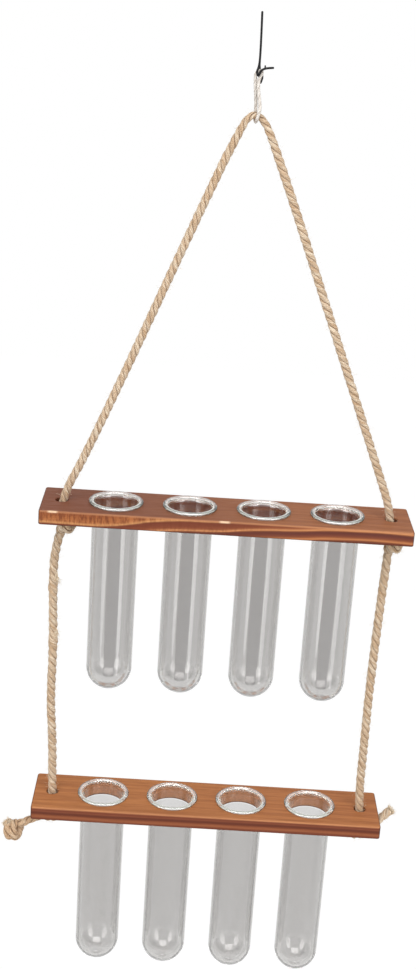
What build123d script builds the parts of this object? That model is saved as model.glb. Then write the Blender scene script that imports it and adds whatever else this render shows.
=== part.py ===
from build123d import *
import os
from math import atan2, cos, degrees, radians, sin, tan

# Hanging propagation rack: eight glass tubes in two boards on one jute rope.
# Units are millimetres, +Z is up, and the front of the rack faces -Y.
# The origin is the upper end of the wire, where the rack is held up.

# Glass tubes
tube_diameter = 25.5
tube_wall = 1.2
tube_length = 112.0
tube_fit = 0.35
rim_overhang = 2.05
rim_height = 1.7
rim_mouth_flare = 0.9
tubes_per_board = 4

# Boards
tube_spacing = 40.0
tube_to_rope_hole = 29.5
rope_hole_to_end = 10.5
board_depth = 38.0
board_thickness = 8.0
board_corner_round = 1.5
board_edge_round = 0.7
hole_edge_break = 0.4
tier_headroom = 68.0

# Jute rope
rope_diameter = 4.6
rope_hole_play = 1.1
sling_rise = 207.5
knot_to_side = 2.2

# White cord loop and black wire
cord_diameter = 1.4
loop_height = 19.1
wire_diameter = 1.1
hanger_drop = 30.4
eye_play = 0.35
eye_height = 5.6
wrap_height = 3.4
wrap_build = 0.55

# Gap between neighbours that turn or slide past each other
running_gap = 0.3

# An arc's reach along the shorter of its two runs, on cords and on the wire's eye
cord_arc_share = 0.45
eye_arc_share = 0.49

# Worked out from the sizes above
tube_radius = tube_diameter / 2
tube_bore = tube_radius - tube_wall
rim_radius = tube_radius + rim_overhang
tube_hole_radius = tube_radius + tube_fit
rope_radius = rope_diameter / 2
rope_hole_radius = rope_radius + rope_hole_play
cord_radius = cord_diameter / 2
wire_radius = wire_diameter / 2
row_length = tube_spacing * (tubes_per_board - 1)
rope_hole_x = row_length / 2 + tube_to_rope_hole
board_length = 2 * (rope_hole_x + rope_hole_to_end)

eye_bottom_z = -hanger_drop
bight_z = eye_bottom_z - loop_height
upper_top_z = bight_z - sling_rise
lower_top_z = upper_top_z - tube_length - tier_headroom
upper_under_z = upper_top_z - board_thickness
lower_under_z = lower_top_z - board_thickness

os.makedirs("parts", exist_ok=True)


def corner_radii(points, arc_share):
    """Radius of each corner's arc, from its share of the shorter of its two runs."""
    radii = []
    for before, corner, after in zip(points, points[1:], points[2:]):
        run_in = Vector(corner) - Vector(before)
        run_out = Vector(after) - Vector(corner)
        half_turn = radians(run_in.get_angle(run_out)) / 2
        radii.append(arc_share * min(run_in.length, run_out.length) / tan(half_turn))
    return radii


def tube_along(name, points, diameter):
    """Sweeps a round tube along straight runs joined by arcs, into the part being built."""
    radii = corner_radii(points, cord_arc_share)
    with BuildLine() as route:
        FilletPolyline(*points, radius=radii)
    path = route.wire()
    with BuildSketch(Plane(origin=path @ 0, z_dir=path % 0)) as section:
        Circle(diameter / 2)
    solid = sweep(section.sketch, path=path, mode=Mode.PRIVATE)
    add(solid)
    expected = section.sketch.area * path.length
    print(
        name,
        "length", round(path.length, 1),
        "radii", [round(r, 1) for r in radii],
        "volume against section times length", round(solid.volume / expected, 4),
    )
    return path


# Black wire hanger: it comes straight down, turns round a closed eye and is
# wound back on itself, and its free end sticks out to the right.
eye_radius = wire_radius + cord_radius + eye_play
wrap_low_z = eye_bottom_z + eye_height
wrap_high_z = wrap_low_z + wrap_height
side_run = eye_height / 2
eye_side_z = eye_bottom_z + side_run
free_end_reach = 7.4
free_end_bend_share = 0.5
free_end_rise_shares = (0.5, 0.95, 1.05)

wire_route = [
    (0, 0, 0),
    (0, 0, wrap_low_z + wire_diameter),
    (-eye_radius, 0, eye_side_z + wire_diameter),
    (-eye_radius, 0, eye_bottom_z),
    (eye_radius, 0, eye_bottom_z),
    (eye_radius, 0, eye_side_z),
    (wire_radius, 0, wrap_low_z + wire_diameter),
]
free_end_route = [
    (eye_radius, 0, eye_bottom_z + eye_height * free_end_rise_shares[0]),
    (free_end_reach * free_end_bend_share, 0, eye_bottom_z + eye_height * free_end_rise_shares[1]),
    (free_end_reach, 0, eye_bottom_z + eye_height * free_end_rise_shares[2]),
]

with BuildPart() as wire_hanger:
    with BuildLine() as eye_line:
        FilletPolyline(*wire_route, radius=corner_radii(wire_route, eye_arc_share))
    eye_path = eye_line.wire()
    with BuildSketch(Plane(origin=eye_path @ 0, z_dir=eye_path % 0)) as wire_section:
        Circle(wire_radius)
    sweep(wire_section.sketch, path=eye_path)
    tube_along("wire free end", free_end_route, wire_diameter)
    with BuildSketch(Plane.XY.offset(wrap_low_z)):
        Circle(wire_radius + wrap_build)
    extrude(amount=wrap_height)
wire_hanger.part.label = "wire_hanger"
export_step(wire_hanger.part, "parts/wire_hanger.step")

# White cord loop: a belt round the wire's eye above and the rope's bight below,
# lying in the plane across the rope.
over_wire_radius = wire_radius + running_gap + cord_radius
under_rope_radius = rope_radius + running_gap + cord_radius
belt_lean = atan2(under_rope_radius - over_wire_radius, loop_height)


def on_belt(centre_z, radius, side):
    """Where the belt leaves a round, on the front (-1) or rear (1) side."""
    return (0, side * radius * cos(belt_lean), centre_z + radius * sin(belt_lean))


with BuildPart() as hanging_loop:
    with BuildLine() as loop_line:
        Line(on_belt(bight_z, under_rope_radius, -1), on_belt(eye_bottom_z, over_wire_radius, -1))
        ThreePointArc(
            on_belt(eye_bottom_z, over_wire_radius, -1),
            (0, 0, eye_bottom_z + over_wire_radius),
            on_belt(eye_bottom_z, over_wire_radius, 1),
        )
        Line(on_belt(eye_bottom_z, over_wire_radius, 1), on_belt(bight_z, under_rope_radius, 1))
        ThreePointArc(
            on_belt(bight_z, under_rope_radius, 1),
            (0, 0, bight_z - under_rope_radius),
            on_belt(bight_z, under_rope_radius, -1),
        )
    loop_path = loop_line.wire()
    with BuildSketch(Plane(origin=loop_path @ 0, z_dir=loop_path % 0)) as cord_section:
        Circle(cord_radius)
    sweep(cord_section.sketch, path=loop_path)
hanging_loop.part.label = "hanging_loop"
export_step(hanging_loop.part, "parts/hanging_loop.step")
print("hanging_loop length", round(loop_path.length, 1))

# Rope sling: up through the left hole, over the cord loop in a tight bight, and
# down through the right hole. The knots under the board end it.
bight_half_width = 3.0
shoulder_half_width = 9.5
shoulder_drop = 9.5
bend_above_board = 1.5
sling_half_route = [
    (rope_hole_x, upper_under_z),
    (rope_hole_x, upper_top_z + bend_above_board),
    (shoulder_half_width, bight_z - shoulder_drop),
    (bight_half_width, bight_z),
]
sling_route = [(-x, 0, z) for x, z in sling_half_route]
sling_route += [(x, 0, z) for x, z in reversed(sling_half_route)]

with BuildPart() as sling_rope:
    tube_along("sling_rope", sling_route, rope_diameter)
sling_rope.part.label = "sling_rope"
export_step(sling_rope.part, "parts/sling_rope.step")

# Boards: eased edges, a row of tube holes, and a rope hole near each end.
for board_name, top_z in (("upper_board", upper_top_z), ("lower_board", lower_top_z)):
    with BuildPart() as board:
        with BuildSketch(Plane.XY.offset(top_z)):
            RectangleRounded(board_length, board_depth, board_corner_round)
        extrude(amount=-board_thickness)
        flat_faces = board.faces().filter_by(Axis.Z)
        fillet(flat_faces.edges(), board_edge_round)
        with Locations(Plane.XY.offset(top_z)):
            with GridLocations(tube_spacing, 0, tubes_per_board, 1):
                Hole(tube_hole_radius, board_thickness)
            with GridLocations(2 * rope_hole_x, 0, 2, 1):
                Hole(rope_hole_radius, board_thickness)
        hole_rims = board.faces().sort_by(Axis.Z)[-1].edges().filter_by(GeomType.CIRCLE)
        hole_rims = [edge for edge in hole_rims if edge.radius > board_corner_round]
        chamfer(hole_rims, hole_edge_break)
    board.part.label = board_name
    export_step(board.part, f"parts/{board_name}.step")

# Glass tubes: round bottom, straight body, and a rolled rim that stands on the
# board. The profile is the right half of the section, from the bottom round.
rim_bead_radius = rim_height / 2


def tube_profile():
    """Half section of one tube, with the board's top face at height zero."""
    bottom_z = rim_height - tube_length
    dome_z = bottom_z + tube_radius
    seat_radius = rim_radius - rim_bead_radius
    mouth_radius = tube_bore + rim_mouth_flare
    with BuildSketch(Plane.XZ) as profile:
        with BuildLine():
            outer_dome = CenterArc((0, dome_z), tube_radius, -90, 90)
            body = Line((tube_radius, dome_z), (tube_radius, -rim_bead_radius))
            neck = Line(body @ 1, (tube_hole_radius, 0))
            seat = Line(neck @ 1, (seat_radius, 0))
            bead = CenterArc((seat_radius, rim_bead_radius), rim_bead_radius, -90, 180)
            lip = Line(bead @ 1, (mouth_radius + rim_bead_radius, rim_height))
            mouth = CenterArc(
                (mouth_radius + rim_bead_radius, rim_bead_radius), rim_bead_radius, 90, 90
            )
            throat = Line(mouth @ 1, (tube_bore, -rim_height))
            bore = Line(throat @ 1, (tube_bore, dome_z))
            inner_dome = CenterArc((0, dome_z), tube_bore, 0, -90)
            Line(inner_dome @ 1, outer_dome @ 0)
        make_face()
    return profile.sketch


tube_half_section = tube_profile()
for tier_name, top_z in (("upper", upper_top_z), ("lower", lower_top_z)):
    for number in range(1, tubes_per_board + 1):
        tube_x = (number - 1) * tube_spacing - row_length / 2
        tube_name = f"{tier_name}_tube_{number}"
        with BuildPart() as glass_tube:
            section = tube_half_section.moved(Location((tube_x, 0, top_z)))
            revolve(section, axis=Axis((tube_x, 0, top_z), (0, 0, 1)))
        glass_tube.part.label = tube_name
        export_step(glass_tube.part, f"parts/{tube_name}.step")

# Stopper knots: the rope turned round itself, two fat leaning turns side by side
# on a core. A knot is as round as it is high, so that it can roll in its seat.
knot_turn_share = 0.66
knot_offset_share = 0.74
knot_core_share = 0.9
knot_turn_lean = 18
knot_turn_radius = knot_turn_share * rope_diameter
knot_turn_offset = knot_offset_share * rope_diameter
knot_core_radius = knot_core_share * rope_diameter
knot_radius = knot_turn_radius + rope_radius
upper_knot_z = upper_under_z - running_gap - knot_radius
lower_knot_z = lower_under_z - running_gap - knot_radius


def knot_turns(centre, lean):
    """Adds the core and the two turns of one knot, lying along X, to the part being built."""
    middle = Vector(centre)
    across = Vector(cos(radians(lean)), sin(radians(lean)), 0)
    with BuildSketch(Plane(origin=middle - Vector(knot_turn_offset, 0, 0), z_dir=(1, 0, 0))) as core:
        Circle(knot_core_radius)
    extrude(core.sketch, amount=2 * knot_turn_offset)
    for side in (-1, 1):
        turn_middle = middle + Vector(side * knot_turn_offset, 0, 0)
        with Locations(Location(Plane(origin=turn_middle, z_dir=across))):
            Torus(knot_turn_radius, rope_radius)


for side_name, side in (("left", -1), ("right", 1)):
    hole_x = side * rope_hole_x
    with BuildPart() as upper_knot:
        knot_turns((hole_x + knot_to_side, 0, upper_knot_z), knot_turn_lean)
    upper_knot.part.label = f"upper_{side_name}_knot"
    export_step(upper_knot.part, f"parts/upper_{side_name}_knot.step")

    with BuildPart() as lower_knot:
        knot_turns((hole_x, 0, lower_knot_z), -knot_turn_lean)
        with BuildSketch(Plane.XY.offset(lower_knot_z)):
            with Locations((hole_x, 0)):
                Circle(rope_radius)
        extrude(amount=lower_top_z - lower_knot_z)
    lower_knot.part.label = f"lower_{side_name}_knot"
    export_step(lower_knot.part, f"parts/lower_{side_name}_knot.step")

# Drops: the rope from an upper knot down to the lower board. Each route's point
# is a bow to the side, in millimetres, and its share of the way down.
drop_high_z = upper_knot_z - knot_radius - running_gap - rope_radius
drop_low_z = lower_top_z + running_gap + rope_radius
drop_length = drop_high_z - drop_low_z
left_drop_bows = [
    (0, 0),
    (-2.2, 0.06),
    (-2.8, 0.18),
    (-2.2, 0.42),
    (-2.5, 0.62),
    (-1.1, 0.77),
    (-0.8, 0.91),
    (0, 1),
]
right_drop_bows = [
    (0, 0),
    (-1.0, 0.055),
    (-2.0, 0.165),
    (-2.5, 0.375),
    (-2.3, 0.58),
    (-2.4, 0.75),
    (-1.7, 0.9),
    (0, 1),
]

for side_name, side, bows in (("left", -1, left_drop_bows), ("right", 1, right_drop_bows)):
    hole_x = side * rope_hole_x
    drop_route = [(hole_x + bow, 0, drop_high_z - share * drop_length) for bow, share in bows]
    with BuildPart() as drop_rope:
        drop_name = f"{side_name}_drop_rope"
        tube_along(drop_name, drop_route, rope_diameter)
        for end_z in (drop_high_z, drop_low_z):
            with Locations((hole_x, 0, end_z)):
                Sphere(rope_radius)
    drop_rope.part.label = drop_name
    export_step(drop_rope.part, f"parts/{drop_name}.step")

# Tails: the rope's two ends, from the lower knots out past the board's ends.
# Points are measured from the hole's centre at the board's underside.
left_tail_points = [(-3.0, -1.6, -6.6), (-8.0, -4.4, -8.0), (-12.6, -6.6, -9.6), (-16.5, -7.8, -11.4)]
right_tail_points = [
    (3.0, 1.6, -6.6),
    (8.2, 4.8, -7.0),
    (12.9, 7.3, -3.9),
    (16.0, 8.0, 1.0),
    (19.3, 8.3, 3.5),
    (23.6, 8.6, 3.1),
]

tail_ends = {}
for side_name, side, points in (("left", -1, left_tail_points), ("right", 1, right_tail_points)):
    tail_route = [(side * rope_hole_x + x, y, lower_under_z + z) for x, y, z in points]
    with BuildPart() as tail:
        tail_path = tube_along(f"{side_name}_tail", tail_route, rope_diameter)
    tail_ends[side_name] = (tail_path @ 1, tail_path % 1)
    tail.part.label = f"{side_name}_tail"
    export_step(tail.part, f"parts/{side_name}_tail.step")

# The knot at the end of the left tail: the tail runs into it up to its first turn
tail_end, tail_direction = tail_ends["left"]
with BuildPart() as left_end_knot:
    knot_turns(tail_end + tail_direction * knot_core_radius, knot_turn_lean)
left_end_knot.part.label = "left_end_knot"
export_step(left_end_knot.part, "parts/left_end_knot.step")

print("board", board_length, board_depth, board_thickness, "rope holes at", rope_hole_x)
print("heights", upper_top_z, lower_top_z, "eye", eye_bottom_z, "bight", bight_z)
print("knots", upper_knot_z, lower_knot_z, "drop", drop_high_z, drop_low_z, "knot radius", knot_radius)
print("leg lean", round(degrees(atan2(rope_hole_x - shoulder_half_width, sling_rise - shoulder_drop)), 2))
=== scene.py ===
# %% [markdown]
# # A hanging propagation rack
# Two narrow stained boards hang one under the other on a single jute rope, and each
# carries four round-bottomed glass tubes that stand in their holes on their rims. The
# boards and the tubes arrive as a measured model. This notebook gives them their
# finishes, and lays the rope, the white cord and the black wire round them.

# %% Load the measured model
import math
import random

import bpy
from mathutils import Matrix, Vector, noise


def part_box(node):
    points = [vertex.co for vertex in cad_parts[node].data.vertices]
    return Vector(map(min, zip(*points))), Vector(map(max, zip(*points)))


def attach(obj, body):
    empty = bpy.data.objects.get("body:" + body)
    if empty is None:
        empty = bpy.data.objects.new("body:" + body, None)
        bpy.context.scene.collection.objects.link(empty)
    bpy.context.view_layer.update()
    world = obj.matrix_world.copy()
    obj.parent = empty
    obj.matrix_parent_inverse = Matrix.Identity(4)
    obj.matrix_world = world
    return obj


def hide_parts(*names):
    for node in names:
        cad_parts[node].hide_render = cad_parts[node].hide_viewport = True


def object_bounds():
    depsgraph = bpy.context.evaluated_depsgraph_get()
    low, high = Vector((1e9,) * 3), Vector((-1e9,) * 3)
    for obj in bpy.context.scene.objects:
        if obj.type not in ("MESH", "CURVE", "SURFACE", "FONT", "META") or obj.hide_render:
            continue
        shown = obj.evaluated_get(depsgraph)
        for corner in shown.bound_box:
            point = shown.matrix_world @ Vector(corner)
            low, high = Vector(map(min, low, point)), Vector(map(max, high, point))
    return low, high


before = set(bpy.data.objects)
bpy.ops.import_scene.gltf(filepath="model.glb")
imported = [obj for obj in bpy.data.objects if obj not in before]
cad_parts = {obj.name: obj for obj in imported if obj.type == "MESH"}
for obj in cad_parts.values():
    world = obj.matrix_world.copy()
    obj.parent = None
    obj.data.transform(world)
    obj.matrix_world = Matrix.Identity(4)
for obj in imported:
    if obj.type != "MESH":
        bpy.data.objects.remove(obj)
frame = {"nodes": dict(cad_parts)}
cad_low, cad_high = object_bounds()
scene = bpy.context.scene
mm = 0.001
upper_low, upper_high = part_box("upper_board")
lower_low, lower_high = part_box("lower_board")
print("model", [round(side / mm, 1) for side in cad_high - cad_low], "mm")

# %% [markdown]
# ## The camera
# The photograph was taken a little above the boards, leaning down, with the camera
# slightly rolled. Its place comes from fitting the boards' corners, the rims and the
# tubes' bottoms. A lens in millimetres is the focal length in pixels times the
# sensor's long side over the picture's long side.

# %% The photograph's camera
photo_height = 969
focal_pixels = 1472.4
sensor_millimetres = 36
camera_place = Vector((-22.26, -748.56, 16.69)) * mm
yaw, pitch, roll = 0.0149, -0.3343, 0.0662

# The camera's axes, from a yaw to the right, a pitch up and a roll, all in radians
level = math.cos(pitch)
forward = Vector((math.sin(yaw) * level, math.cos(yaw) * level, math.sin(pitch)))
level_right = Vector((math.cos(yaw), -math.sin(yaw), 0))
level_up = level_right.cross(forward)
right = level_right * math.cos(roll) + level_up * math.sin(roll)
up = level_up * math.cos(roll) - level_right * math.sin(roll)
turn = Matrix((right, up, -forward)).transposed().to_4x4()

lens = bpy.data.cameras.new("photo_camera")
lens.sensor_width = sensor_millimetres
lens.lens = focal_pixels / photo_height * sensor_millimetres
camera = bpy.data.objects.new("photo_camera", lens)
scene.collection.objects.link(camera)
camera.matrix_world = Matrix.Translation(camera_place) @ turn
scene.camera = camera
print("lens", round(lens.lens, 2), "mm")

# %% [markdown]
# ## Node trees and pieces in a few words
# The sky and every material are node trees written in Python. A small wrapper adds a
# node and fills its sockets with plain values or with other nodes' outputs. It also
# has words for steps that come back often: arithmetic, blends, fades and noise.


# %% Helpers for node trees
def paint(red, green, blue):
    """A colour given in screen values from 0 to 255, as the light it stands for."""
    shares = [value / 255 for value in (red, green, blue)]
    return (*[s / 12.92 if s <= 0.04045 else ((s + 0.055) / 1.055) ** 2.4 for s in shares], 1)


class Tree:
    """A node tree, with short ways to add nodes and to join them."""

    def __init__(self, tree):
        self.nodes, self.links = tree.nodes, tree.links

    def put(self, socket, value):
        """Link an output to a socket, or set the socket to a plain value."""
        if isinstance(value, bpy.types.NodeSocket):
            self.links.new(value, socket)
        else:
            socket.default_value = value

    def fill(self, node, **values):
        """Fill a node's sockets by name."""
        for name, value in values.items():
            self.put(node.inputs[name.replace("_", " ")], value)
        return node

    def add(self, kind, settings=None, *values, **named):
        """A new node with its properties set, and its sockets filled in order or by name."""
        made = self.nodes.new(kind)
        for name, value in (settings or {}).items():
            setattr(made, name, value)
        for socket, value in zip(made.inputs, values):
            self.put(socket, value)
        return self.fill(made, **named)

    def maths(self, operation, *values):
        """The result of one Math node."""
        return self.add("ShaderNodeMath", {"operation": operation}, *values).outputs[0]

    def times(self, first, second):
        """Two numbers multiplied."""
        return self.maths("MULTIPLY", first, second)

    def less(self, first, second):
        """The first number less the second."""
        return self.maths("SUBTRACT", first, second)

    def blend(self, share, first, second):
        """The colour between two others."""
        made = self.add("ShaderNodeMix", {"data_type": "RGBA"})
        for index, value in ((0, share), (6, first), (7, second)):
            self.put(made.inputs[index], value)
        return made.outputs[2]

    def fade(self, value, start, end, low=0.0, high=1.0):
        """A value that eases from low at start to high at end."""
        smooth = {"interpolation_type": "SMOOTHSTEP"}
        span = {"From_Min": start, "From_Max": end, "To_Min": low, "To_Max": high}
        return self.add("ShaderNodeMapRange", smooth, Value=value, **span).outputs["Result"]

    def grain(self, place, stretch, detail=2.0, roughness=0.5):
        """Noise whose grain is finer along the axes that are stretched more."""
        scaled = self.add("ShaderNodeVectorMath", {"operation": "MULTIPLY"}, place, stretch)
        look = {"Scale": 1.0, "Detail": detail, "Roughness": roughness}
        return self.add("ShaderNodeTexNoise", Vector=scaled.outputs[0], **look).outputs["Fac"]

    def place(self):
        """Where a point lies on its object, in metres."""
        return self.add("ShaderNodeTexCoord").outputs["Object"]

    def stored(self, name):
        """The outputs of an attribute that was stored on the mesh."""
        return self.add("ShaderNodeAttribute", {"attribute_name": name}).outputs

    def relief(self, height, strength, depth):
        """A bumpy surface, its depth in millimetres."""
        made = self.add("ShaderNodeBump", Height=height, Strength=strength, Distance=depth * mm)
        return made.outputs[0]

    def show(self, share, first, second, end="Material Output"):
        """Let a tree's end show one shader, and another by a share."""
        mixed = self.add("ShaderNodeMixShader", {}, share, first.outputs[0], second.outputs[0])
        self.fill(self.nodes[end], Surface=mixed.outputs[0])


def new_finish(name, **values):
    """A material, its tree, and its shader with its plain values set on the shader itself."""
    finish = bpy.data.materials.new(name)
    finish.use_nodes = True
    tree = Tree(finish.node_tree)
    return finish, tree, tree.fill(tree.nodes["Principled BSDF"], **values)


def new_group(name, inputs, outputs, tree_kind="ShaderNodeTree"):
    """A node group whose named sockets are listed by kind, its tree and its two ends."""
    group = bpy.data.node_groups.new(name, tree_kind)
    for way, sockets in (("INPUT", inputs), ("OUTPUT", outputs)):
        for kind, labels in sockets.items():
            for label in labels:
                group.interface.new_socket(label, in_out=way, socket_type="NodeSocket" + kind)
    tree = Tree(group)
    return group, tree, tree.add("NodeGroupInput").outputs, tree.add("NodeGroupOutput")


# %% A helper for pieces
def new_piece(name, vertices, faces, finish, spaces=(), **shares):
    """A smooth mesh object. Yarn spaces and shares are stored on its vertices."""
    mesh = bpy.data.meshes.new(name)
    mesh.from_pydata(vertices, [], faces)
    if spaces:
        yarn = mesh.attributes.new("yarn_space", "FLOAT_VECTOR", "POINT")
        yarn.data.foreach_set("vector", [value for space in spaces for value in space])
    for label, values in shares.items():
        mesh.attributes.new(label, "FLOAT", "POINT").data.foreach_set("value", values)
    mesh.polygons.foreach_set("use_smooth", [True] * len(mesh.polygons))
    mesh.materials.append(finish)
    mesh.update()
    piece = bpy.data.objects.new(name, mesh)
    scene.collection.objects.link(piece)
    return piece


# %% [markdown]
# ## Floor, sky and lamps
# The sky lights everything alike, and shows as white to the eye, in reflections and
# through the glass. Soft panels add direction. A wide one hangs above and in front,
# and two tall oval ones stand left and right of the camera. A glass cylinder draws
# each tall panel as one long bright streak that tapers downwards, and its round
# bottom draws the wide one as a bright spot.

# %% Surround and light
scene.view_settings.view_transform = "Standard"
white = (1, 1, 1, 1)


def seen_directly(tree):
    """A value of 1 for what the eye sees, straight on or through or in a gloss."""
    path = tree.add("ShaderNodeLightPath").outputs
    seen = tree.maths("MAXIMUM", path["Is Camera Ray"], path["Is Glossy Ray"])
    return tree.maths("MAXIMUM", seen, path["Is Transmission Ray"])


sky_level = 0.46
sky = bpy.data.worlds.new("plain_sky")
sky.use_nodes = True
sky_tree = Tree(sky.node_tree)
sky_light = sky_tree.fill(sky_tree.nodes["Background"], Color=white, Strength=sky_level)
white_sky = sky_tree.add("ShaderNodeBackground", Color=white, Strength=1)
sky_tree.show(seen_directly(sky_tree), sky_light, white_sky, "World Output")
scene.world = sky

floor_drop, floor_reach = 1.2, 6.0
floor_grey = (0.88, 0.88, 0.88, 1)
floor_glow, glow_level = 0.8, 1.15
floor_z = cad_low.z - floor_drop
signs = ((-1, -1), (1, -1), (1, 1), (-1, 1))
corners = [(x * floor_reach, y * floor_reach, floor_z) for x, y in signs]
floor_finish, floor_tree, floor_paint = new_finish("pale_floor", Base_Color=floor_grey, Roughness=0.9)
glow = floor_tree.add("ShaderNodeEmission", Strength=glow_level)
floor_tree.show(floor_tree.times(seen_directly(floor_tree), floor_glow), floor_paint, glow)
new_piece("pale_floor", corners, [(0, 1, 2, 3)], floor_finish)

tubes_middle = (upper_low + lower_high) / 2


def soft_panel(name, turn, rise, distance, width, height, brightness, oval=False):
    """A flat lamp that faces the tubes, placed by two angles in degrees and a distance."""
    turn, rise = math.radians(turn), math.radians(rise)
    level = math.cos(rise)
    outward = Vector((math.sin(turn) * level, -math.cos(turn) * level, math.sin(rise)))
    lamp = bpy.data.lights.new(name, "AREA")
    lamp.shape = "ELLIPSE" if oval else "RECTANGLE"
    lamp.size, lamp.size_y = width, height
    filled = math.pi / 4 if oval else 1
    lamp.energy = brightness * math.pi * width * height * filled
    panel = bpy.data.objects.new(name, lamp)
    scene.collection.objects.link(panel)
    panel.location = tubes_middle + outward * distance
    panel.rotation_mode = "QUATERNION"
    panel.rotation_quaternion = outward.to_track_quat("Z", "Y")
    panel.visible_camera = False


soft_panel("key_panel", 0, 57, 1.3, 1.2, 0.95, 2.6)
soft_panel("left_panel", -46, 4, 1.45, 0.78, 1.7, 2.05, oval=True)
soft_panel("right_panel", 43, 2, 1.45, 0.78, 1.8, 2.05, oval=True)

# %% [markdown]
# ## Lines for the ropes to follow
# A rope's shape starts as a list of control points. A NURBS curve of order 3 turns
# them into one smooth line, and the strands are then laid round points read back
# from it. Order and end clamping are set after the points are added, because set
# before they are lost.


# %% Smooth lines and frames along them
def smooth_line(points, samples):
    """Points, in metres, along the NURBS line that control points in millimetres pull."""
    curve = bpy.data.curves.new("route", "CURVE")
    curve.dimensions = "3D"
    spline = curve.splines.new("NURBS")
    spline.points.add(len(points) - 1)
    for place, point in zip(spline.points, points):
        place.co = (*(Vector(point) * mm), 1)
    spline.order_u = 3
    spline.use_endpoint_u = True
    spline.resolution_u = samples
    holder = bpy.data.objects.new("route", curve)
    scene.collection.objects.link(holder)
    mesh = bpy.data.meshes.new_from_object(holder)
    line = [vertex.co.copy() for vertex in mesh.vertices]
    bpy.data.objects.remove(holder)
    bpy.data.curves.remove(curve)
    bpy.data.meshes.remove(mesh)
    return line


def length_of(line):
    """Length of a chain of points."""
    return sum((b - a).length for a, b in zip(line, line[1:]))


def evenly(line, step):
    """The same line, with its points about one step apart."""
    count = max(2, round(length_of(line) / step))
    step = length_of(line) / count
    spaced, travelled, target = [line[0].copy()], 0.0, step
    for a, b in zip(line, line[1:]):
        run = (b - a).length
        while run and travelled + run >= target - 1e-9 and len(spaced) <= count:
            spaced.append(a.lerp(b, (target - travelled) / run))
            target += step
        travelled += run
    return spaced


def frames_along(line):
    """A point, its tangent and two steady side directions, for each point of a line."""
    ahead, behind = line[1:] + line[-1:], line[:1] + line[:-1]
    tangents = [(b - a).normalized() for a, b in zip(behind, ahead)]
    side = tangents[0].orthogonal().normalized()
    frames = []
    for point, tangent in zip(line, tangents):
        side = (side - tangent * side.dot(tangent)).normalized()
        frames.append((point, tangent, side, tangent.cross(side)))
    return frames


def ring_round(point, side, other, reach, sides):
    """Points of a circle about a point, in the plane of two directions."""
    turns = [math.tau * j / sides for j in range(sides)]
    return [point + (side * math.cos(turn) + other * math.sin(turn)) * reach for turn in turns]


# %% [markdown]
# ## Twisted rope
# Laid rope is a few strands that wind round each other, here left-handed. Each is a
# tube whose centre circles the route, pressed to an oval where it meets the others.
# Every vertex also stores a place in "yarn space": round the strand, and along it in
# millimetres. A material can then draw fibres that follow the strand without a seam.
# A second value says how far a vertex faces outward, so shade can be painted into the grooves.
# Rope under load is thinner than slack rope, so the sling, the knots and the drops
# each have a lay of their own.


# %% Strands laid round a line
def bands(start, rows, sides):
    """Faces between rings of equally many vertices, from the vertex numbered start."""
    firsts = range(start, start + rows * sides, sides)
    corners = [(first, j, (j + 1) % sides) for first in firsts for j in range(sides)]
    return [(first + j, first + k, first + sides + k, first + sides + j) for first, j, k in corners]


def tube_skin(rings):
    """Vertices and faces of a closed tube through rings of equally many points."""
    sides, last = len(rings[0]), len(rings) - 1
    faces = bands(0, last, sides)
    faces += [tuple(reversed(range(sides))), tuple(range(last * sides, (last + 1) * sides))]
    return [point for ring in rings for point in ring], faces


def joined_mesh(name, parts, finish):
    """One piece from several (vertices, faces, yarn spaces, outward shares) parts."""
    vertices, faces, spaces, shares = [], [], [], []
    for part_vertices, part_faces, part_spaces, part_shares in parts:
        faces += [tuple(len(vertices) + index for index in face) for face in part_faces]
        vertices += part_vertices
        spaces += part_spaces
        shares += part_shares
    return new_piece(name, vertices, faces, finish, spaces, outward_share=shares)


def strand_part(frames, lay, phase, seed, slubs=(), sides=14):
    """One strand of a rope: lay is (radius of the whole, strands, pitch, hand, unevenness)."""
    radius, strands, pitch, hand, unevenness = lay
    half_depth, half_width = [share * radius for share in strand_section[strands]]
    total = length_of([frame[0] for frame in frames])
    swells = []
    for i in range(len(frames)):
        ways = [(height, (i / len(frames) - share) * total / reach) for share, height, reach in slubs]
        swells.append(1 + sum(height * math.exp(-(way ** 2)) for height, way in ways))
    centres, outward, travelled, before = [], [], 0.0, frames[0][0]
    for swell, (point, _, side, other) in zip(swells, frames):
        travelled += (point - before).length
        before = point
        angle = hand * math.tau * (travelled / pitch + phase)
        outward.append(side * math.cos(angle) + other * math.sin(angle))
        centres.append(point + outward[-1] * ((radius - half_depth) * min(swell, 1)))
    turns = [math.tau * j / sides for j in range(sides)]
    rings, spaces, along = [], [], 0.0
    for i, (centre, tangent, _, _) in enumerate(frames_along(centres)):
        along += (centre - centres[max(i - 1, 0)]).length
        across = tangent.cross(outward[i]).normalized()
        away = across.cross(tangent)
        swell = swells[i] + unevenness * noise.noise(Vector((along / (5 * half_depth), seed, 0)))
        twist = -hand * yarn_twist * along / half_width
        ring = []
        for turn in turns:
            round_x, round_y = math.cos(turn + twist), math.sin(turn + twist)
            ripple = Vector((round_x, round_y, along / (4 * half_depth) + seed)) * ripple_scale
            bulge = swell * (1 + unevenness * noise.noise(ripple))
            offset = away * (math.cos(turn) * half_depth) + across * (math.sin(turn) * half_width)
            ring.append(centre + offset * bulge)
            spaces.append((round_x + 4 * seed, round_y, along / mm))
        rings.append(ring)
    return *tube_skin(rings), spaces, [math.cos(turn) for turn in turns] * len(rings)


strand_section = {2: (0.68, 0.9), 3: (0.48, 0.57)}
yarn_twist, ripple_scale = 0.35, 1.6
jute_radius = 2.3 * mm
jute_lay = (jute_radius, 3, 14.8 * mm, -1, 0.1)
taut_lay = (2.3 * mm, 3, 14.2 * mm, -1, 0.1)
slack_lay = (2.5 * mm, 3, 14.8 * mm, -1, 0.12)
jute_step, knot_step = 1.1 * mm, 0.8 * mm


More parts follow.
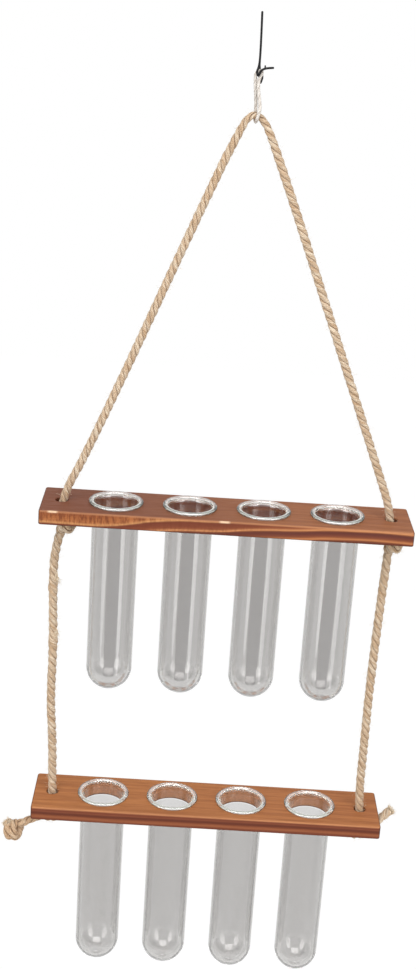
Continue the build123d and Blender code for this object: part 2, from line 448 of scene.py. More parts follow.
def laid_rope(name, route, samples, lay, step, finish, seed, slubs=()):
    """A rope of strands along a route, and its line. Slubs are (share, height, reach)."""
    line = evenly(smooth_line(route, samples), step)
    frames = frames_along(line)
    strands = lay[1]
    parts = [strand_part(frames, lay, k / strands, seed + k, slubs) for k in range(strands)]
    print(name, round(length_of(line) / mm, 1), "mm")
    return joined_mesh(name, parts, finish), line


# %% [markdown]
# ## Fibres
# Jute and the white cotton cord are spun fibre: thin streaks that run along each
# strand with a little twist. One node group draws them from the yarn space stored on
# the strands, and each material places it with its own widths. The long stretches and
# the upper knots are plain jute. The lower left end has been handled and is browner,
# and the right end is paler.

# %% The fibre group and the cord finishes
widths, looks = {"Float": ["Fineness", "Fibre Length"]}, {"Float": ["Streaks", "Patches"]}
fibre_group, fibres, fibre_in, fibre_out = new_group("spun_fibre", widths, looks)
yarn = fibres.stored("yarn_space")["Vector"]
fineness = fibre_in["Fineness"]
lengthways = fibres.maths("DIVIDE", 1.0, fibre_in["Fibre Length"])
stretch = fibres.add("ShaderNodeCombineXYZ", X=fineness, Y=fineness, Z=lengthways).outputs[0]
streaks = fibres.fade(fibres.grain(yarn, stretch, 4.0, 0.6), 0.3, 0.7)
patches = fibres.fade(fibres.grain(yarn, (0.5, 0.5, 0.09)), 0.34, 0.66)
fibres.fill(fibre_out, Streaks=streaks, Patches=patches)


def spun_finish(name, colours, fineness=4.0, fibre_length=6.0, bump=0.6, roughness=0.9):
    """A fibre finish from its painted groove shade and its dark, middle and light colour."""
    painted_groove_shade, dark, middle, light = [paint(*colour) for colour in colours]
    finish, tree, surface = new_finish(name, Roughness=roughness, Sheen_Weight=0.12)
    widths = {"Fineness": fineness, "Fibre_Length": fibre_length}
    spun = tree.add("ShaderNodeGroup", {"node_tree": fibre_group}, **widths).outputs
    skin = tree.blend(spun["Streaks"], dark, tree.blend(spun["Patches"], middle, light))
    # Painted shade: the grooves between strands are darkened toward the groove colour.
    groove_shade_share = tree.fade(tree.stored("outward_share")["Fac"], 0.5, -0.25, 0.0, 0.95)
    colour = tree.blend(groove_shade_share, skin, painted_groove_shade)
    tree.fill(surface, Base_Color=colour, Normal=tree.relief(spun["Streaks"], bump, 0.15))
    print("fibre finish", name)
    return finish


# The first colour of each finish is painted shade for the grooves between strands.
jute_colours = ((104, 66, 36), (174, 137, 98), (222, 197, 168), (246, 232, 209))
pale_colours = ((118, 78, 46), (196, 158, 118), (240, 216, 188), (255, 246, 226))
worn_colours = ((108, 70, 40), (178, 138, 100), (222, 188, 152), (246, 220, 188))
cotton_colours = ((188, 177, 167), (215, 207, 198), (232, 224, 215), (245, 239, 231))
jute_finish = spun_finish("hairy_jute", jute_colours)
pale_finish = spun_finish("pale_jute", pale_colours)
worn_finish = spun_finish("handled_jute", worn_colours)
cotton_finish = spun_finish("white_cotton", cotton_colours, 3.0, 8.0, 0.08, 0.85)
fluff_finish, fluff, fluff_surface = new_finish("loose_jute_fibre", Roughness=0.9, Sheen_Weight=0.1)
fluff_patches = fluff.grain(fluff.place(), (500, 500, 500))
fluff_colour = fluff.blend(fluff_patches, paint(236, 210, 174), paint(252, 238, 216))
fluff.fill(fluff_surface, Base_Color=fluff_colour)

# %% [markdown]
# ## The sling
# The rope comes up out of the left hole of the upper board, runs straight to the
# white cord and back down to the right hole. It carries everything, so its legs are
# almost straight. The route repeats the measured one, with a point more on each leg
# just above the board, where the rope leans on the edge of its hole.

# %% Sling rope
jute = {}
hole_x = 89.5
board_under = upper_low.z / mm
bight_z = -49.5
knot_drop = 5.636
knot_z = board_under - knot_drop
sling_foot = board_under + 10.0
left_lean, right_lean, lean_rise = 13.4, 10.5, 26.5
sling_route = [
    (-hole_x, 0, board_under - 2), (-hole_x, 0, sling_foot),
    (-hole_x + left_lean, 0, sling_foot + lean_rise),
    (-16.9, 0.2, bight_z - 29.5), (-8.0, 0.1, bight_z - 9.5), (-3, 0, bight_z + 0.8),
    (3, 0, bight_z + 0.8), (9.8, 0.1, bight_z - 9.5),
    (hole_x - right_lean, 0, sling_foot + lean_rise),
    (hole_x, 0, sling_foot), (hole_x, 0, board_under - 2),
]
pressed = ((0.5, -0.2, 14 * mm),)
jute["sling"] = laid_rope("sling_strands", sling_route, 60, taut_lay, jute_step, jute_finish, 1, pressed)

# %% [markdown]
# ## The two drops
# Below the upper board the same rope hangs to the lower one. Jute is stiff enough to
# keep the bends it was bought with. A bow is some millimetres sideways at a share of
# the drop's height, chosen against the photograph.

# %% Drops between the boards
drop_top = knot_z - 5.5
drop_height = lower_high.z / mm - 2.2 - drop_top
left_bows = [
    (0, 0), (-2.9, 0.06), (-3.4, 0.18), (-2.0, 0.42), (-2.8, 0.62), (-1.0, 0.77), (-0.4, 0.91), (0, 1),
]
right_bows = [
    (0, 0), (-0.3, 0.055), (-0.9, 0.165), (-1.6, 0.375), (-1.9, 0.58), (-1.4, 0.75), (-1.5, 0.9), (0, 1),
]
left_slubs = ((0.2, 0.25, 2.5 * mm), (0.4, 0.25, 2.5 * mm))
for part, side, bows, seed, slubs in (
    ("left_drop", -1, left_bows, 11, left_slubs),
    ("right_drop", 1, right_bows, 17, ()),
):
    route = [(side * hole_x + bow, 0, drop_top + share * drop_height) for bow, share in bows]
    jute[part] = laid_rope(part + "_strands", route, 24, slack_lay, jute_step, jute_finish, seed, slubs)

# %% [markdown]
# ## Knots
# A stopper knot under each board keeps it up. The rope winds round itself twice and
# comes out below, along a short helix about a level axis. A NURBS line of order 3
# touches the middle of each side of its polygon, so the polygon is drawn a little
# larger than the turn. The wraps sit a touch below the wood, so a board can tilt.

# %% Knot routes
turn_radius = 3.036
points_per_turn = 8
polygon_radius = turn_radius / math.cos(math.pi / points_per_turn)


def wraps(centre, start_x, end_x, start_angle, turns, size=1.0, lean=0.3):
    """Control points that wind about a level axis through centre, from start_x to end_x."""
    steps = round(turns * points_per_turn)
    points = []
    for i in range(steps + 1):
        angle = start_angle + math.tau * i / points_per_turn
        x = start_x + (end_x - start_x) * i / steps
        y, z = math.sin(angle) * polygon_radius, math.cos(angle) * polygon_radius * size
        points.append((centre[0] + x + lean * y, centre[1] + y, centre[2] + z))
    return points


knot_room = 0.4
knotted = (8, jute_lay, knot_step)
for part, side, seed in (("upper_left_knot", -1, 23), ("upper_right_knot", 1, 29)):
    x = side * hole_x
    way_in = [(x, 0, board_under - 0.5), (x + 2.0, -0.5, knot_z + 4)]
    way_out = [(x - 0.6, 0.6, knot_z - 4.2), (x + 0.2, 0, knot_z - 5.6), (x, 0, knot_z - 6.8)]
    route = way_in + wraps((x, 0, knot_z - knot_room), 6.0, -0.4, 0.4, 2.25) + way_out
    jute[part] = laid_rope(part + "_strands", route, *knotted, jute_finish, seed)

# %% [markdown]
# ## The rope's two ends
# Under the lower board the rope is knotted again, and its two tails stick out past
# the board's ends: the left one ends in a second knot, the right one in a loose
# brush. Each end is one rope from inside the board's hole to its tip.

# %% Lower knots with their tails
lower_under = lower_low.z / mm
lower_knot_z = lower_under - knot_drop
left_tail = [(-6.5, -3.6, -7.2), (-9.5, -5.2, -7.5), (-12.6, -6.6, -8.2), (-15.6, -7.5, -9.6)]
right_tail = [(6, 3.4, -7.2), (9.5, 5.4, -6), (12.9, 7.3, -3.4), (16.4, 8.1, 0.2), (19.4, 8.4, 2.8)]


def from_hole(side, points):
    """Points measured from the middle of a lower rope hole's underside, in the model's frame."""
    return [(side * hole_x + x, y, lower_under + z) for x, y, z in points]


def end_route(side, wrap_start, wrap_end, turns, tail):
    """Down through the lower board, twice round, and out along the tail."""
    x = side * hole_x
    passage = [(x, 0, lower_under + 7), (x, 0, lower_under + 2), (x - side * 1.5, 0.5, lower_knot_z + 4)]
    centre = (x, 0, lower_knot_z - knot_room)
    return passage + wraps(centre, wrap_start, wrap_end, -0.4, turns) + from_hole(side, tail)


left_route = end_route(-1, 3.8, -3.6, 2.4, left_tail)
right_route = end_route(1, -3.8, 3.4, 1.9, right_tail)
loose_tip = ((0.97, 0.3, 6 * mm),)
jute["left_end"] = laid_rope("lower_left_rope_end", left_route, *knotted, worn_finish, 31)
jute["right_end"] = laid_rope("lower_right_rope_end", right_route, *knotted, pale_finish, 37, loose_tip)

# %% The small knot on the left tail
end_knot_centre = from_hole(-1, [(-21.2, -8.9, -13.8)])[0]
tuft_root = Vector(end_knot_centre) + Vector((-3.5, -1.5, 5.4))
end_knot_route = from_hole(-1, [(-14.4, -7.3, -9.0), (-17.2, -8.2, -9.8)])
end_knot_route += wraps(end_knot_centre, 3.4, -3.4, 0.2, 2.1, size=1.4)
end_knot_route += [tuft_root + Vector((0.9, 0, -2.0)), tuft_root]
jute["end_knot"] = laid_rope("left_end_knot_strands", end_knot_route, *knotted, worn_finish, 41)

# %% [markdown]
# ## Frayed tips
# A cut jute rope opens into a brush. Each fibre is a very thin three-sided tube that
# starts inside the rope's end and leans outwards, with only a handful of faces. Two
# short flyaway ends lie against the right side of the left drop.

# %% Brushes of loose fibre
fibre_sides, fibre_taper = 3, 0.6
thinnest, thickest = 0.09, 0.16
lean_by, bend_by = 0.12, 0.16
root_depth = 1.2 * mm


def thin_fibre(points, radius):
    """Vertices and faces of one loose fibre along a few points."""
    rings = []
    for i, (point, _, side, other) in enumerate(frames_along(points)):
        reach = radius * (1 - fibre_taper * i / (len(points) - 1))
        rings.append(ring_round(point, side, other, reach, fibre_sides))
    return tube_skin(rings)


def brush(name, root, direction, length, spread, count, seed, root_share=0.95):
    """A tuft of loose fibres that leaves root along direction."""
    dice = random.Random(seed)
    direction = direction.normalized()
    side = direction.orthogonal().normalized()
    other = direction.cross(side)
    parts = []
    for _ in range(count):
        angle, reach = dice.uniform(0, math.tau), math.sqrt(dice.random())
        outward = side * math.cos(angle) + other * math.sin(angle)
        start = root + outward * (reach * jute_radius * root_share) - direction * root_depth
        run = length * dice.uniform(0.55, 1.0)
        lean = outward * (reach * spread) + side * dice.gauss(0, lean_by) + other * dice.gauss(0, lean_by)
        bend = Vector([dice.gauss(0, bend_by) for _ in range(3)])
        points = [start + (direction + lean * t + bend * t * t) * (run * t) for t in (0, 0.35, 0.7, 1.0)]
        vertices, faces = thin_fibre(points, dice.uniform(thinnest, thickest) * mm)
        spaces = [(dice.uniform(0, 9), 0.0, 4.0 * (i // fibre_sides)) for i in range(len(vertices))]
        parts.append((vertices, faces, spaces, [1.0] * len(vertices)))
    print(name, count, "fibres")
    return joined_mesh(name, parts, fluff_finish)


left_tuft = brush("left_cut_end", tuft_root * mm, Vector((-0.4, -0.2, 0.9)), 2.6 * mm, 0.4, 260, 5)
right_line = jute["right_end"][1]
right_way = right_line[-1] - right_line[-4]
right_tuft = brush("right_frayed_tip", right_line[-1], right_way, 3.0 * mm, 0.5, 320, 7)
flyaways = []
for height, seed in ((-301.5, 61), (-333.5, 67)):
    rooted = min(jute["left_drop"][1], key=lambda point: abs(point.z - height * mm))
    rooted = rooted + Vector((1.5, -1.0, 0)) * mm
    away = Vector((0.16, 0, -1))
    flyaways.append(brush(f"left_drop_flyaway_{seed}", rooted, away, 6.5 * mm, 0.16, 70, seed, 0.35))

# %% [markdown]
# ## The white cord
# A thin two-ply cotton cord joins the rope to the wire. It passes through the wire's
# eye and under the rope's bend, one strand in front and one behind. Its route is one
# loop, with its ends side by side under the bend.

# %% White cord loop
cotton_radius = 0.85 * mm
cotton_lay = (cotton_radius, 2, 8 * mm, 1, 0.05)
cotton_step = 0.45 * mm
loop_route = [
    (0.6, 0.4, -51.9), (1.0, -2.7, -51.2), (1.5, -3.2, -48.2), (2.3, -2.3, -45), (1.6, -1.4, -41),
    (0.9, -1.0, -37), (0.5, -0.8, -33.5), (0.8, -0.2, -31.4), (1.8, 0.5, -29.2), (2.2, 0.8, -27.7),
    (0.6, 1.0, -27.0), (-1.1, 1.0, -28.8), (-1.0, 0.7, -32), (-0.7, 0.6, -36), (-0.1, 1.0, -41),
    (0.3, 2.0, -46), (0.1, 3.2, -49.5), (0.2, 2.4, -51.2), (0.6, 1.1, -52.0),
]
loop = laid_rope("hanging_loop_plies", loop_route, 12, cotton_lay, cotton_step, cotton_finish, 51)

# %% [markdown]
# ## The black wire
# A straight piece of coated wire with a rounded top. Its lower end is folded into a
# small eye that the cord hangs in, and the ends of the fold stand off, one to the
# side and one downwards. Wire has the same round section all along, so it is a tube
# through plain rings, and a few smaller rings round off each tip.

# %% Wire hanger
wire_radius = 0.55 * mm
wire_step = 0.5 * mm
wire_finish, coat, wire_surface = new_finish("black_coating", Specular_IOR_Level=0.2)
wire_grain = coat.grain(coat.place(), (900, 900, 160), 3.0)
wire_colour = coat.blend(wire_grain, paint(4, 4, 5), paint(22, 21, 22))
coat.fill(wire_surface, Base_Color=wire_colour, Roughness=coat.fade(wire_grain, 0.3, 0.7, 0.28, 0.5))
wire_stretches = [
    (1.0, [(0, 0, 0), (0.3, 0, -9), (0.5, 0, -18), (0.5, -0.1, -23), (0.1, -0.8, -26), (-0.7, -1.5, -27.7),
           (0.1, -1.6, -30.4), (1.0, -1.5, -28), (1.7, -1.2, -26.9), (3.2, -0.9, -26.2),
           (5.0, -0.7, -25.8), (7.2, -0.5, -25.6)]),
    (1.0, [(0.5, 0.4, -22.4), (0.5, 2.0, -25), (1.1, 3.3, -27.6), (2.3, 3.5, -29.4),
           (2.5, 3.3, -31.2), (1.7, 3.0, -33.2)]),
    (0.95, [(0.15, -1.4, -29.2), (0.3, 1.0, -30), (1.6, 3.3, -28.7)]),
    (0.7, [(3.3, -0.9, -26.2), (3.3, -0.8, -24.9)]),
]
tip = [(math.cos(angle), math.sin(angle)) for angle in (1.35, 0.9, 0.45)]


def wire_part(points, radius, sides=14):
    """A round wire along a smooth line, with rounded tips."""
    frames = frames_along(evenly(smooth_line(points, 16), wire_step))
    sections = [(point, side, other, radius) for point, _, side, other in frames]
    head, tail = [
        [(point + tangent * (way * radius * out), side, other, radius * width) for width, out in tip]
        for (point, tangent, side, other), way in ((frames[0], -1), (frames[-1], 1))
    ]
    vertices, faces = tube_skin([ring_round(*ring, sides) for ring in head + sections + tail[::-1]])
    return vertices, faces, [(0.0, 0.0, 0.0)] * len(vertices), [1.0] * len(vertices)


wire_parts = [wire_part(points, wire_radius * share) for share, points in wire_stretches]
wire = joined_mesh("wire_hanger_bend", wire_parts, wire_finish)
print("wire", len(wire.data.polygons), "faces")

# %% [markdown]
# ## Stray fibres with Geometry Nodes
# Jute is hairy, and Geometry Nodes can plant its hairs: points are scattered over the
# strands, one bent hair is placed on each, and the result is made real so that the
# export keeps it. The seed is fixed, so every run gives the same hairs.

# %% The hair tree
hair_values = {"Hairs Per Square Metre": 2.2e5, "Hair Length": 3.0 * mm, "Hair Thickness": 0.035 * mm}
sockets = {"Geometry": ["Geometry"], "Float": list(hair_values), "Int": ["Seed"]}
result = {"Geometry": ["Geometry"]}
jute_hairs, tree, given, hair_out = new_group("stray_fibres", sockets, result, "GeometryNodeTree")
hair_seed, hair_length = given["Seed"], given["Hair Length"]


def any_vector(low, high):
    """A random vector between two others, for each hair."""
    kind = {"data_type": "FLOAT_VECTOR"}
    return tree.add("FunctionNodeRandomValue", kind, Min=low, Max=high, Seed=hair_seed).outputs[0]


host = {"Mesh": given["Geometry"], "Density": given["Hairs Per Square Metre"], "Seed": hair_seed}
scatter = tree.add("GeometryNodeDistributePointsOnFaces", **host).outputs
bend = {"Start": (0, 0, -0.08), "Middle": (0.15, 0, 0.55), "End": (0.55, 0.1, 0.9)}
spine = tree.add("GeometryNodeCurveQuadraticBezier", Resolution=4, **bend).outputs[0]
reach = tree.maths("DIVIDE", given["Hair Thickness"], hair_length)
section = tree.add("GeometryNodeCurvePrimitiveCircle", Resolution=3, Radius=reach).outputs[0]
skin = {"Curve": spine, "Profile_Curve": section, "Fill_Caps": True}
hair = tree.add("GeometryNodeCurveToMesh", **skin).outputs[0]
lean = any_vector((-1, -1, -1), (1, 1, 1))
outward = tree.add("ShaderNodeVectorMath", {"operation": "ADD"}, scatter["Normal"], lean).outputs[0]
facing = tree.add("FunctionNodeAlignRotationToVector", {"axis": "Z"}, Vector=outward).outputs[0]
spun = tree.add("FunctionNodeEulerToRotation", Euler=any_vector((0, 0, 0), (0, 0, math.tau))).outputs[0]
local = {"rotation_space": "LOCAL"}
turned = tree.add("FunctionNodeRotateRotation", local, Rotation=facing, Rotate_By=spun).outputs[0]
size = tree.add("FunctionNodeRandomValue", Seed=hair_seed)
size.inputs[2].default_value, size.inputs[3].default_value = 0.3, 1.0
scale = tree.times(size.outputs[1], hair_length)
each = {"Points": scatter["Points"], "Instance": hair, "Rotation": turned, "Scale": scale}
planted = tree.add("GeometryNodeInstanceOnPoints", **each).outputs[0]
real = tree.add("GeometryNodeRealizeInstances", Geometry=planted).outputs[0]
finished = tree.add("GeometryNodeSetMaterial", Geometry=real, Material=fluff_finish).outputs[0]
tree.fill(hair_out, Geometry=finished)


def stray_fibres(host, name, seed):
    """Hairs on a piece, as a plain mesh of their own."""
    carrier = bpy.data.objects.new(name, host.data)
    scene.collection.objects.link(carrier)
    grower = carrier.modifiers.new("grow", "NODES")
    grower.node_group = jute_hairs
    values = {**hair_values, "Seed": seed}
    for item in jute_hairs.interface.items_tree:
        if item.name in values:
            grower[item.identifier] = values[item.name]
    ready = carrier.evaluated_get(bpy.context.evaluated_depsgraph_get())
    mesh = bpy.data.meshes.new_from_object(ready)
    mesh.name = name
    bpy.data.objects.remove(carrier)
    hairs = bpy.data.objects.new(name, mesh)
    scene.collection.objects.link(hairs)
    print(name, len(mesh.polygons), "faces")
    return hairs


# %% Hairs on every rope
fuzz = {}
for seed, (part, (host, _)) in enumerate(jute.items(), 101):
    fuzz[part] = stray_fibres(host, part + "_fibres", seed)

# %% [markdown]
# ## Stained boards
# The boards are thin softwood, sawn so that the growth rings lie almost flat. On the
# top they show as soft long streaks, and on the front edge as a few bold layers that
# rise and fall along the board. One group measures where a point lies among the
# rings, in millimetres from the board's top, and every board places it with its own
# rise. The stain is darker in the end grain, and the colour is also darker along the
# back and bottom edges. The front arris is lighter, partly stain rubbed thin and
# partly painted highlight, with a painted highlight here and there. The walls of the
# holes have a colour of their own.

# %% The timber group
board_half_length = (upper_high.x - upper_low.x) / 2 / mm
board_half_depth = (upper_high.y - upper_low.y) / 2 / mm
board_thick = (upper_high.z - upper_low.z) / mm
timber, wood, wood_in, wood_out = new_group(
    "sawn_timber",
    {"Vector": ["Place"], "Float": ["Ring Rise", "Wander"]},
    {"Float": ["Ring Depth", "Streaks", "Fibre", "Flecks", "Side", "Front Arris", "Dark Edge", "Hole Wall"]},
)
place = wood_in["Place"]
axes = wood.add("ShaderNodeSeparateXYZ", Vector=place).outputs
wandering = wood.times(wood.less(wood.grain(place, (0.03, 0.06, 0.12)), 0.5), wood_in["Wander"])
under_top = wood.times(axes["Z"], -1.0)
below_top, above_bottom = (0.2, 0.7), (board_thick - 0.15, board_thick - 0.6)
side_share = wood.times(wood.fade(under_top, *below_top), wood.fade(under_top, *above_bottom))
to_end = wood.less(board_half_length, wood.maths("ABSOLUTE", axes["X"]))
to_front = wood.maths("ADD", board_half_depth, axes["Y"])
to_end_or_back = wood.maths("MINIMUM", to_end, wood.less(board_half_depth, axes["Y"]))
# Darker within a millimetre of the ends, the back and the bottom edge.
to_dark_edge = wood.maths("MINIMUM", to_end_or_back, wood.less(board_thick, under_top))
to_faces = wood.maths("MINIMUM", to_end_or_back, to_front)
to_arris = wood.maths("ADD", to_front, wood.maths("ABSOLUTE", under_top))
wood.fill(
    wood_out,
    Ring_Depth=wood.less(wood.maths("ADD", under_top, wandering), wood_in["Ring Rise"]),
    Streaks=wood.fade(wood.grain(place, (0.014, 0.35, 0.5), 4.0, 0.6), 0.32, 0.68),
    Fibre=wood.fade(wood.grain(place, (0.07, 2.6, 3.2), 3.0, 0.6), 0.3, 0.7),
    Flecks=wood.fade(wood.grain(place, (1.2, 0.4, 0.26), 3.0, 0.6), 0.38, 0.64),
    Side=side_share,
    Front_Arris=wood.fade(to_arris, 1.3, 0.35),
    Dark_Edge=wood.fade(to_dark_edge, 0.9, 0.1),
    Hole_Wall=wood.times(wood.fade(to_faces, 1.5, 3), side_share),
)
print("timber group", len(timber.nodes), "nodes")

# %% A board's finish
rise_low, rise_span = -6.0, 14.0
wander = 0.5


def board_finish(name, top_z, rise, layers, tops, fleck_end, glints):
    """Stained timber: rise and layers in mm, tops the top's and the holes' colours, glints painted
    highlights.
    """
    finish, tree, surface = new_finish(name, Specular_IOR_Level=0.22)
    mapping = {"Vector": tree.place(), "Scale": (1 / mm,) * 3, "Location": (0, 0, -top_z / mm)}
    place = tree.add("ShaderNodeMapping", **mapping).outputs[0]
    x = tree.add("ShaderNodeSeparateXYZ", Vector=place).outputs["X"]
    along = tree.maths("MULTIPLY_ADD", x, 0.5 / board_half_length, 0.5)
    lift = tree.add("ShaderNodeFloatCurve", Value=along)
    curve = lift.mapping.curves[0]
    while len(curve.points) < len(rise):
        curve.points.new(0.5, 0.5)
    for point, (share, height) in zip(curve.points, rise):
        point.location = (share, (height - rise_low) / rise_span)
    lift.mapping.update()
    ring_rise = tree.maths("MULTIPLY_ADD", lift.outputs[0], rise_span, rise_low)
    given = {"Place": place, "Ring_Rise": ring_rise, "Wander": wander}
    seen = tree.add("ShaderNodeGroup", {"node_tree": timber}, **given).outputs

    low, high = layers[0][0], layers[-1][0]
    depth_share = tree.maths("DIVIDE", tree.less(seen["Ring Depth"], low), high - low)
    ramp = tree.add("ShaderNodeValToRGB", Fac=depth_share)
    ramp.color_ramp.interpolation = "B_SPLINE"
    stops = ramp.color_ramp.elements
    while len(stops) < len(layers):
        stops.new(0.5)
    for stop, (depth, *colour) in zip(stops, layers):
        stop.position, stop.color = (depth - low) / (high - low), paint(*colour)
    above_line = tree.fade(seen["Ring Depth"], -0.3, -1.3, 0.34, 0.76)
    fleck_run = tree.times(above_line, tree.fade(along, fleck_end, fleck_end - 0.3))
    fleck_share = tree.times(seen["Flecks"], fleck_run)
    flecked = tree.blend(fleck_share, ramp.outputs[0], paint(112, 56, 34))
    left_top, right_top, dark_top, hole_colour = [paint(*colour) for colour in tops]
    top_run = tree.blend(tree.fade(along, 0.1, 0.8), left_top, right_top)
    top_colour = tree.blend(tree.times(seen["Streaks"], 0.45), top_run, dark_top)
    face = tree.blend(seen["Side"], top_colour, flecked)
    for part, strength, colour in (
        ("Hole Wall", 0.8, hole_colour),
        ("Fibre", 0.24, paint(92, 48, 32)),
        # The lighter front arris is partly stain rubbed thin and partly painted highlight.
        ("Front Arris", 0.4, paint(214, 152, 108)),
    ):
        face = tree.blend(tree.times(seen[part], strength), face, colour)
    # Painted highlights: small bright spots on the front arris.
    for centre, reach in glints:
        away = tree.maths("ABSOLUTE", tree.less(x, centre))
        painted_glint = tree.times(seen["Front Arris"], tree.fade(away, reach, 0.4 * reach, 0.0, 0.85))
        face = tree.blend(painted_glint, face, paint(252, 218, 182))
    face = tree.blend(tree.times(seen["Dark Edge"], 0.7), face, paint(62, 30, 22))
    rough = tree.fade(seen["Fibre"], 0, 1, 0.55, 0.75)
    tree.fill(surface, Base_Color=face, Roughness=rough, Normal=tree.relief(seen["Fibre"], 0.25, 0.12))
    print("board finish", name)
    return finish


# %% [markdown]
# A layer is a depth among the rings in millimetres, and its colour. A rise is a share
# of the board's length, and the millimetres that the rings climb there.

# %% The two boards
upper_layers = [
    (-8.0, 146, 80, 48), (-4.0, 166, 98, 56), (-2.0, 184, 114, 66), (-1.0, 186, 118, 72),
    (-0.4, 210, 146, 90), (0.2, 224, 160, 104), (0.7, 112, 56, 40), (1.6, 120, 60, 42),
    (3.6, 132, 70, 46), (4.7, 150, 84, 54), (5.3, 222, 156, 102), (5.8, 196, 124, 78),
    (6.3, 88, 46, 38), (7.6, 102, 52, 44), (9.2, 128, 68, 46), (10.0, 176, 108, 66),
    (10.5, 210, 140, 90), (11.0, 156, 88, 52), (11.6, 88, 46, 38), (14.0, 112, 56, 40),
]
upper_rise = [
    (0, 6.2), (0.06, 6.2), (0.14, 6.5), (0.18, 6.1), (0.25, 4.1), (0.31, 2.0), (0.38, 0.8),
    (0.48, 0.1), (0.555, -1.5), (0.62, -2.5), (0.69, -3.1), (0.76, -4.2), (0.83, -4.7),
    (0.9, -4.8), (1, -4.2),
]
upper_tops = ((135, 85, 64), (174, 113, 75), (122, 70, 48), (104, 54, 38))
upper_glints = ((-92.5, 3.4), (-1.2, 3.6))
lower_layers = [
    (-0.4, 172, 110, 72), (0.6, 132, 70, 46), (1.2, 112, 56, 40), (1.9, 142, 80, 54),
    (2.4, 112, 58, 40), (3.3, 94, 46, 32), (4.0, 120, 62, 40), (4.8, 152, 88, 56),
    (5.6, 162, 96, 62), (6.3, 130, 72, 48), (7.0, 112, 56, 40), (8.0, 132, 70, 46),
]
lower_rise = [(0, 0.2), (0.25, 0.5), (0.5, 0.2), (0.75, 0.0), (1, 0.3)]
lower_tops = ((202, 133, 80), (199, 130, 80), (134, 72, 44), (206, 144, 104))
for node, *look in (
    ("upper_board", upper_high.z, upper_rise, upper_layers, upper_tops, 0.72, upper_glints),
    ("lower_board", lower_high.z, lower_rise, lower_layers, lower_tops, 0.1, ()),
):
    frame["nodes"][node].material_slots[0].material = board_finish("stained_" + node, *look)

# %% [markdown]
# ## Glass tubes
# Each tube is one half outline turned round its axis: outside from the pole up to the
# rim, then inside back down to the pole. The rim is a round bead, which bends light
# like a lens. It stands a hair above the wood, so light inside the bead can bounce
# off its underside. The bottom is thicker than the wall, with a small pool of glass
# where the tube was pinched shut.

# %% Tube outline
tube_low, tube_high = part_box("upper_tube_1")
bead_reach = 2.05
tube_radius = (tube_high.x - tube_low.x) / 2 / mm - bead_reach
tube_height = (tube_high.z - tube_low.z) / mm
rim_top = (tube_high.z - upper_high.z) / mm
wall_thick = 1.2
bore_radius = tube_radius - wall_thick
rim_gap = 0.04
bottom_z = rim_top - tube_height


def arc(centre, radius, first, last, steps):
    """Points (radius, height) on part of a circle, with angles in degrees."""
    points = []
    for i in range(steps + 1):
        angle = math.radians(first + (last - first) * i / steps)
        points.append((centre[0] + radius * math.cos(angle), centre[1] + radius * math.sin(angle)))
    return points


# Half outline of a tube in millimetres, with the board's top at height zero
dome_z = bottom_z + tube_radius
bead_radius = (rim_top - rim_gap) / 2
bead_z = rim_gap + bead_radius
outside = arc((0, dome_z), tube_radius, -90, 0, 22)
outside += [(tube_radius, dome_z + 30), (tube_radius, -30), (tube_radius, -2.4)]
outside += [(tube_radius + 0.05, -1.4), (tube_radius + 0.2, -0.6), (tube_radius + 0.4, rim_gap)]
outside += arc((tube_radius + bead_reach - bead_radius, bead_z), bead_radius, -80, 80, 12)
inside = arc((bore_radius + 0.75 + bead_radius, bead_z), bead_radius, 100, 180, 6)
inside += [(bore_radius + 0.68, 0.1), (bore_radius + 0.4, -0.8), (bore_radius + 0.12, -1.9)]
inside += [(bore_radius, -3.2), (bore_radius, -30), (bore_radius, dome_z + 30)]
inside += arc((0, dome_z), bore_radius, 0, -68, 18)
thick_pool = [(3.1, 2.2), (2.1, 3.1), (1.1, 3.6), (0, 3.7)]
inside += [(radius, bottom_z + height) for radius, height in thick_pool]
outline = outside + inside


def turned_tube(name, centre_x, foot_z, sides=72):
    """A closed glass shape from the half outline turned about an upright axis."""
    middles = [Vector((centre_x, 0, foot_z + height * mm)) for _, height in outline]
    vertices = [middles[0]]
    for (radius, _), middle in zip(outline[1:-1], middles[1:-1]):
        for j in range(sides):
            angle = math.tau * j / sides
            vertices.append(middle + Vector((math.cos(angle), math.sin(angle), 0)) * radius * mm)
    vertices.append(middles[-1])
    pole = len(vertices) - 1
    faces = [(0, 1 + (j + 1) % sides, 1 + j) for j in range(sides)]
    faces += bands(1, len(outline) - 3, sides)
    faces += [(pole - sides + j, pole - sides + (j + 1) % sides, pole) for j in range(sides)]
    outer_count = 1 + (len(outside) - 1) * sides
    outer = [1.0] * outer_count + [0.0] * (len(vertices) - outer_count)
    depths = [(foot_z - vertex.z) / mm for vertex in vertices]
    return new_piece(name, vertices, faces, glass_finish, outer_skin=outer, below_board_top=depths)


# %% [markdown]
# The grey of the wall is painted shade: a grey tint of the glass itself stands in for
# darker surroundings seen through it. The painted shade is deeper between the two
# streaks, where the outside faces the eye, and deepest near the outline. The rim and
# the part inside the board are clear, but the rim's edge is painted nearly black where
# it turns away, a painted dark reflection. A coat on the rim and inside the dome gives
# the bright spots, and a painted glow stands in for light piped round inside the rim.

# %% Glass finish
glass_finish, glass, glass_surface = new_finish(
    "clear_glass_wall", Roughness=0.0, IOR=1.48, Transmission_Weight=1.0,
    Coat_Roughness=0.04, Coat_IOR=3.0, Emission_Strength=1.0,
)
outer_skin = glass.stored("outer_skin")["Fac"]
depth = glass.stored("below_board_top")["Fac"]
facing = glass.add("ShaderNodeLayerWeight", Blend=0.5).outputs["Facing"]
backfacing = glass.add("ShaderNodeNewGeometry").outputs["Backfacing"]
path = glass.add("ShaderNodeLightPath").outputs
wall_streaks = glass.grain(glass.place(), (120, 120, 9))
# The wall's grey tint is painted shade, for darker surroundings seen through the glass.
wall = glass.blend(wall_streaks, (0.65, 0.64, 0.63, 1), (0.70, 0.693, 0.688, 1))
